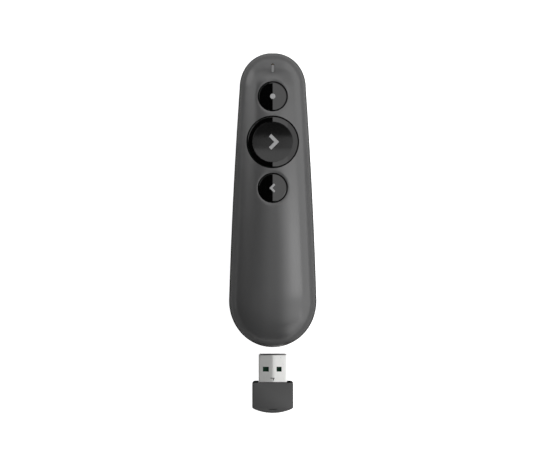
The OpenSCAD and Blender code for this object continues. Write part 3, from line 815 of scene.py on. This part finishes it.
# ---------------------------------------------------------------- receiver
def cap_outline(bow_steps=28, corner_r=0.8, bow_r=20.0):
    """Plan of the receiver cap: flat front, straight sides, bowed end, rounded corners.

    Each point is (x, y, tag); the tag tells the front corners from the rest.
    """
    hw = CAP_W / 2
    steps = 6
    right = []
    for k in range(steps + 1):
        a = math.radians(90 - 90 * k / steps)
        right.append((hw - corner_r + corner_r * math.cos(a),
                      CAP_Y1 - corner_r + corner_r * math.sin(a), "front"))
    bow_y = CAP_Y0 + bow_r
    corner_y = bow_y - math.sqrt(bow_r * bow_r - (hw - corner_r) ** 2)
    right.append((hw, corner_y + corner_r + 0.15, "side"))
    for k in range(1, steps + 1):
        a = math.radians(-78 * k / steps)
        right.append((hw - corner_r + corner_r * math.cos(a),
                      corner_y + corner_r + 0.12 + corner_r * math.sin(a), "side"))
    end = []
    for k in range(bow_steps + 1):
        x = hw * (1 - 2 * k / bow_steps)
        if abs(x) < hw - corner_r + 0.05:
            end.append((x, bow_y - math.sqrt(bow_r * bow_r - x * x), "side"))
    return right + end + [(-x, y, tag) for x, y, tag in reversed(right)]


def cap_body():
    """The cap before its openings are cut: rounded edges all round, front slope at the top."""
    outline = cap_outline()
    mid_y = (CAP_Y0 + CAP_Y1) / 2
    hw, hl = CAP_W / 2, (CAP_Y1 - CAP_Y0) / 2
    edge, front_slope, steps = 0.45, 0.55, 4
    turns = [0.5 * math.pi * k / steps for k in range(steps + 1)]
    levels = [(edge * (1 - math.sin(a)), CAP_H - edge + edge * math.cos(a)) for a in turns]
    levels += [(edge * (1 - math.cos(a)), edge - edge * math.sin(a)) for a in turns]
    verts = []
    for inset, z in levels:
        for x, y, tag in outline:
            yy = mid_y + (y - mid_y) * (1 - inset / hl)
            if tag == "front" and z > CAP_H - edge - 0.01:
                yy -= front_slope * inset / edge
            verts.append((x * (1 - inset / hw), yy, z))
    return new_object("rx_cap", verts, capped_rings(len(levels), len(outline)))


def receiver_cap():
    ob = cap_body()
    mouth_x, mouth_z0, mouth_z1 = PLUG_W / 2 + 0.02, 0.75 - 0.02, 5.25 + 0.02
    front_x = PLUG_W / 2 + 0.2
    cutters = [
        block("cut_mouth", -mouth_x, mouth_x, CAP_Y0 + 2.2, CAP_Y1 + 1, mouth_z0, mouth_z1),
        block("cut_groove", -1.7, 1.7, CAP_Y0 + 1.3, CAP_Y0 + 1.7, CAP_H - 1.2, CAP_H + 1),
        block("cut_front", -front_x, front_x, CAP_Y1 - 0.55, CAP_Y1 + 1, BELOW, CAP_H + 1)]
    for side in (-1, 1):
        cutters.append(block("cut_shoulder_%d" % side, side * 7.6 - 1.5, side * 7.6 + 1.5,
                             CAP_Y1 - SHOULDER, CAP_Y1 + 1, BELOW, CAP_H + 1))
    boolean(ob, cutters)
    dress(shade(ob, 30), REC_CAP, "receiver", "receiver_cap")


def shoulder(side):
    """Black piece beside the plug, which shows on both sides of the cap's face; its black is painted
    shade of the cap's sloped front beside the plug.
    """
    x0, x1, y0 = PLUG_W / 2 + 0.02, CAP_W / 2 - 0.05, CAP_Y1 - SHOULDER - 0.3
    r, steps, inset = 1.2, 8, 0.35
    pts = [(x0, y0), (x1, y0)]
    for k in range(steps + 1):
        a = 0.5 * math.pi * k / steps
        pts.append((x1 - r + r * math.cos(a), CAP_Y1 - r + r * math.sin(a)))
    pts.append((x0, CAP_Y1))
    ob = slab("rx_shoulder", [(side * x, y) for x, y in pts], inset, CAP_H - inset)
    bevel(ob, 0.15, 2, 50)
    dress(shade(ob), REC_SHADE, "receiver")


def plug_ring(grow, lift, seg=6):
    """Section of the stamped plug: rounded corners, faces that rise a little to the middle."""
    w, h = PLUG_W / 2 - 0.3 + grow, PLUG_H / 2 - 0.3 + grow
    r = max(0.05, 0.5 * grow)
    corners = ((w - r, h - r, 0), (-w + r, h - r, 90), (-w + r, -h + r, 180), (w - r, -h + r, 270))
    out = []
    for cx, cz, a0 in corners:
        for k in range(seg + 1):
            a = math.radians(a0 + 90 * k / seg)
            out.append((cx + r * math.cos(a), cz + r * math.sin(a)))
        if a0 in (0, 180):
            side = 1 if a0 == 0 else -1
            for x in (5.3, 4.2, 2.4, 1.2, 0.5, 0.2, 0.0, -0.2, -0.5, -1.2, -2.4, -4.2, -5.3):
                out.append((side * x, side * h))

    def crowned(x, z):
        if abs(z) <= h - 0.05:
            return z
        fall = lift * (1 - max(0.0, 1 - math.hypot(x, 0.35) / w))
        return z - fall if z > 0 else z + fall
    return [(x, crowned(x, z)) for x, z in out]


# The plug's skin from its root over the rolled lip and back inside: (grow, y)
PLUG_SKIN = ((0.0, CAP_Y1 - 6), (0.3, CAP_Y1 - 6), (0.3, PLUG_TIP - 0.68), (0.22, PLUG_TIP - 0.62),
             (-0.12, PLUG_TIP - 0.14), (-0.14, PLUG_TIP), (-0.2, PLUG_TIP),
             (-0.2, PLUG_TIP - 0.1), (0.0, PLUG_TIP - 0.5))


def receiver_plug():
    rings = []
    for grow, y in PLUG_SKIN:
        lift = 0.18 if grow > 0.1 else 0.0
        rings.append([(x, y, CAP_H / 2 + z) for x, z in plug_ring(grow, lift)])
    verts = [p for ring in rings for p in ring]
    ob = new_object("rx_plug", verts, looped_rings(len(rings), len(rings[0])))
    over, mark_floor = CAP_H + 1, CAP_H - 1.6
    cutters = [block("cut_window_%d" % k, x0, x1, PLUG_TIP - 7.65, PLUG_TIP - 5.6, BELOW, over)
               for k, (x0, x1) in enumerate(((-4.2, -1.68), (1.62, 3.75)))]
    cutters += [block("cut_bar", -0.95, 0.8, CAP_Y1 + 0.9, CAP_Y1 + 1.2, mark_floor, over),
                block("cut_stem", 0.15, 0.5, CAP_Y1 + 0.1, CAP_Y1 + 0.95, mark_floor, over)]
    boolean(ob, cutters)
    dress(shade(ob, 30), PLUG, "receiver", "receiver_plug_shell")


receiver_cap()
shoulder(1)
shoulder(-1)
receiver_plug()

# ---------------------------------------------------------------- carried-over CAD nodes
KEPT = {
    "laser_plunger": IVORY, "next_plunger": IVORY, "back_plunger": IVORY,
    "laser_switch": CAN, "next_switch": CAN, "back_switch": CAN,
    "status_led": LED, "laser_barrel": BRASS, "laser_lens": GLASS, "laser_diode": GOLD,
    "laser_holder": TRAY, "circuit_board": BOARD, "radio_chip": CHIP, "driver_chip": CHIP,
    "crystal": CAN, "chip_antenna": CERAMIC_BLUE, "board_capacitors": CERAMIC,
    "board_screws": STEEL, "battery_tray": TRAY, "battery_cell": STEEL,
    "battery_sleeve": SLEEVE, "battery_spring": STEEL, "battery_minus_plate": STEEL,
    "battery_plus_plate": STEEL, "receiver_dock": TRAY, "receiver_insert": CHIP,
    "receiver_board": REC_BOARD, "receiver_contacts": GOLD, "receiver_chip": CHIP,
    "receiver_crystal": CAN,
}
for node_name, finish in KEPT.items():
    cad_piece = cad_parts[node_name]
    if not cad_piece.material_slots:
        cad_piece.data.materials.append(finish)
    for material_slot in cad_piece.material_slots:
        material_slot.material = finish


# ---------------------------------------------------------------- floor, lights, camera
def seen_rays(nt):
    """1 for rays from the camera, a glossy surface or glass, 0 for the light that falls on things."""
    path = nt.nodes.new("ShaderNodeLightPath")
    most = path.outputs["Is Camera Ray"]
    for kind in ("Is Glossy Ray", "Is Transmission Ray"):
        higher = nt.nodes.new("ShaderNodeMath")
        higher.operation = "MAXIMUM"
        nt.links.new(most, higher.inputs[0])
        nt.links.new(path.outputs[kind], higher.inputs[1])
        most = higher.outputs[0]
    return most


def stage_piece(name, verts, faces):
    """A floor or card of the studio, in metres, with a plain material of its own."""
    me = bpy.data.meshes.new(name)
    me.from_pydata(verts, [], faces)
    mat = bpy.data.materials.new(name)
    mat.use_nodes = True
    me.materials.append(mat)
    ob = link(bpy.data.objects.new(name, me))
    return ob, mat.node_tree


def level_quad(x0, x1, y0, y1, z):
    return [(x0, y0, z), (x1, y0, z), (x1, y1, z), (x0, y1, z)]


def stage_floor(half=3.0, below=2e-5):
    """White floor, a hair under the object, that keeps its shadow."""
    ob, nt = stage_piece("floor", level_quad(-half, half, -half, half, 0), [(0, 1, 2, 3)])
    ob.location = (0, 0, -below)
    bsdf = nt.nodes["Principled BSDF"]
    bsdf.inputs["Base Color"].default_value = (0.75, 0.75, 0.75, 1)
    bsdf.inputs["Roughness"].default_value = 0.9
    bsdf.inputs["Specular IOR Level"].default_value = 0.1
    glow = nt.nodes.new("ShaderNodeEmission")
    glow.inputs["Color"].default_value = (0.88, 0.88, 0.88, 1)
    nt.links.new(seen_rays(nt), glow.inputs["Strength"])
    add = nt.nodes.new("ShaderNodeAddShader")
    nt.links.new(bsdf.outputs["BSDF"], add.inputs[0])
    nt.links.new(glow.outputs["Emission"], add.inputs[1])
    nt.links.new(add.outputs["Shader"], nt.nodes["Material Output"].inputs["Surface"])


def flag(name, verts, faces, tone=0.0, table=False):
    """A dark card out of shot; one that lies on the table is only there for reflections."""
    ob, nt = stage_piece(name, verts, faces)
    bsdf = nt.nodes["Principled BSDF"]
    bsdf.inputs["Base Color"].default_value = (tone, tone, tone, 1)
    bsdf.inputs["Specular IOR Level"].default_value = 0.0
    ob.visible_camera = False
    if table:
        ob.visible_diffuse = ob.visible_transmission = ob.visible_shadow = False


# Grey cards on the table, in metres: x from and to, y from and to, tone; the cards at the left are
# darker than those at the right, as painted shade of the table.
TABLE = ((-0.3, 0.0, -0.3, 0.025, 0.26), (0.0, 0.3, -0.3, 0.025, 0.42),
         (-0.3, 0.0, 0.025, 0.062, 0.4), (0.0, 0.3, 0.025, 0.062, 0.5),
         (-0.3, 0.3, 0.062, 0.3, 0.5))


def flags():
    """The dark studio that the photograph's reflections show: over, left and on the table."""
    quad = [(0, 1, 2, 3)]
    r, h, steps = 0.8, 0.66, 24
    flag("flag_over", level_quad(-r, r, -r, r, h), quad)
    arc = [math.radians(170 + 115 * k / steps) for k in range(steps + 1)]
    flag("flag_left", [(r * math.cos(a), r * math.sin(a), z) for z in (0, h) for a in arc],
         [(k, k + 1, steps + 2 + k, steps + 1 + k) for k in range(steps)])
    for k, (x0, x1, y0, y1, tone) in enumerate(TABLE):
        flag("flag_table_%d" % k, level_quad(x0, x1, y0, y1, -1e-5), quad, tone, True)
    # A near-black strip round the remote and a dark patch under the receiver, seen only in
    # reflections: painted shade of the floor next to the object.
    stations = 60
    wider, longer = 1.45, 1.12
    rim = []
    for k in range(stations + 1):
        s = L * k / stations
        rim.append((half_width(s) * wider * MM, (HL - s) * longer * MM, -5e-6))
    rim += [(-x, y, z) for x, y, z in reversed(rim)]
    flag("flag_rim", rim, [tuple(range(len(rim)))], 0.02, True)
    flag("flag_rim_receiver", level_quad(-0.016, 0.016, -0.099, -0.062, -3e-6), quad, 0.07, True)


def add_card(name, width, height, radiance, place):
    """A softbox that looks equally bright at any size."""
    light = bpy.data.lights.new(name, "AREA")
    light.shape = "RECTANGLE"
    light.size = width
    light.size_y = height
    light.energy = radiance * math.pi * width * height
    ob = bpy.data.objects.new(name, light)
    ob.matrix_world = place
    link(ob)
    ob.visible_camera = False


def overhead(name, x0, x1, y0, y1, radiance, height=0.6):
    """A level softbox; its edges are given as angles from straight up, in degrees."""
    ax, bx, ay, by = (height * math.tan(math.radians(v)) for v in (x0, x1, y0, y1))
    middle = ((ax + bx) / 2, (ay + by) / 2, height)
    add_card(name, bx - ax, by - ay, radiance, Matrix.Translation(middle))


def beside(name, azimuth, elevation, half_wide, half_high, radiance, dist=0.6):
    """A softbox that faces the middle from the side; all angles in degrees."""
    a, e = math.radians(azimuth), math.radians(elevation)
    d = Vector((math.cos(a) * math.cos(e), math.sin(a) * math.cos(e), math.sin(e)))
    width = 2 * dist * math.tan(math.radians(half_wide))
    height = 2 * dist * math.tan(math.radians(half_high))
    turn = d.to_track_quat("Z", "Y").to_matrix().to_4x4()
    add_card(name, width, height, radiance, Matrix.Translation(d * dist) @ turn)


# Softboxes overhead: edges at left, right, rear and front in degrees, then radiance
CARDS = {
    "card_front_mid": (-5, 5, 15, 34, 2.1),
    "card_front": (5, 50, 14, 45, 1.0),
    "card_front_left": (-50, -5, 22, 45, 1.2),
    "card_front_edge": (-50, -30, 14, 22, 1.8),
    "card_right_tip": (0, 18, 1.5, 14, 2.0),
    "card_right_tip_side": (18, 50, 1.5, 14, 1.6),
    "card_left_tip": (-50, -24, 9.0, 14, 2.0),
    "card_middle": (5, 16, -10, 1.5, 2.1),
    "card_right": (16, 50, -10, 1.5, 4.1),
    "card_right_tail": (5, 50, -20, -10, 1.4),
    "card_far": (5, 16, -45, -20, 1.4),
    "card_right_far": (16, 50, -45, -20, 1.9),
}


def softboxes():
    for name, edges in CARDS.items():
        overhead(name, *edges)
    for k, azimuth in enumerate((-30, 0, 30, 60)):
        beside("low_right_%d" % k, azimuth, 20, 14.5, 18, 0.5)
    beside("low_left", 152, 20, 17.5, 18, 0.9)
    beside("low_tail", 300, 28, 20, 12, 0.8)
    overhead("card_receiver", 0, 22, -38, -17, 0.1, height=0.15)
    overhead("card_receiver_left", -22, 0, -38, -17, 0.1, height=0.15)


def studio_world():
    """White to the camera and in reflections, a little less as light on the object."""
    world = bpy.data.worlds.new("studio")
    bpy.context.scene.world = world
    world.use_nodes = True
    nt = world.node_tree
    level = nt.nodes.new("ShaderNodeMapRange")
    level.inputs["To Min"].default_value = 0.85
    level.inputs["To Max"].default_value = 1.0
    nt.links.new(seen_rays(nt), level.inputs["Value"])
    nt.links.new(level.outputs["Result"], nt.nodes["Background"].inputs["Strength"])
    nt.nodes["Background"].inputs["Color"].default_value = (1, 1, 1, 1)


PHOTO_WIDTH = 544  # pixels
MM_PER_PIXEL = 0.42404  # at the height of the parting line
PHOTO_MIDDLE = (272.0, 233.0)
AXIS_COLUMN = 272.75  # the remote's middle line in the photograph
TIP_ROW = 53.1
CAMERA_DISTANCE = 8.0
SENSOR = 36.0


def photo_camera():
    """Straight down from far away, framed as the photograph is."""
    data = bpy.data.cameras.new("camera")
    data.type = "PERSP"
    data.sensor_fit = "HORIZONTAL"
    data.sensor_width = SENSOR
    data.lens = SENSOR * CAMERA_DISTANCE / (PHOTO_WIDTH * MM_PER_PIXEL * MM)
    data.clip_start = 0.05
    data.clip_end = 20
    x = (PHOTO_MIDDLE[0] - AXIS_COLUMN) * MM_PER_PIXEL * MM
    y = (HL - (PHOTO_MIDDLE[1] - TIP_ROW) * MM_PER_PIXEL) * MM
    cam = bpy.data.objects.new("camera", data)
    cam.location = (x, y, CAMERA_DISTANCE + ZP * MM)
    bpy.context.scene.camera = link(cam)


stage_floor()
flags()
softboxes()
studio_world()
photo_camera()
bpy.context.scene.view_settings.view_transform = "Standard"
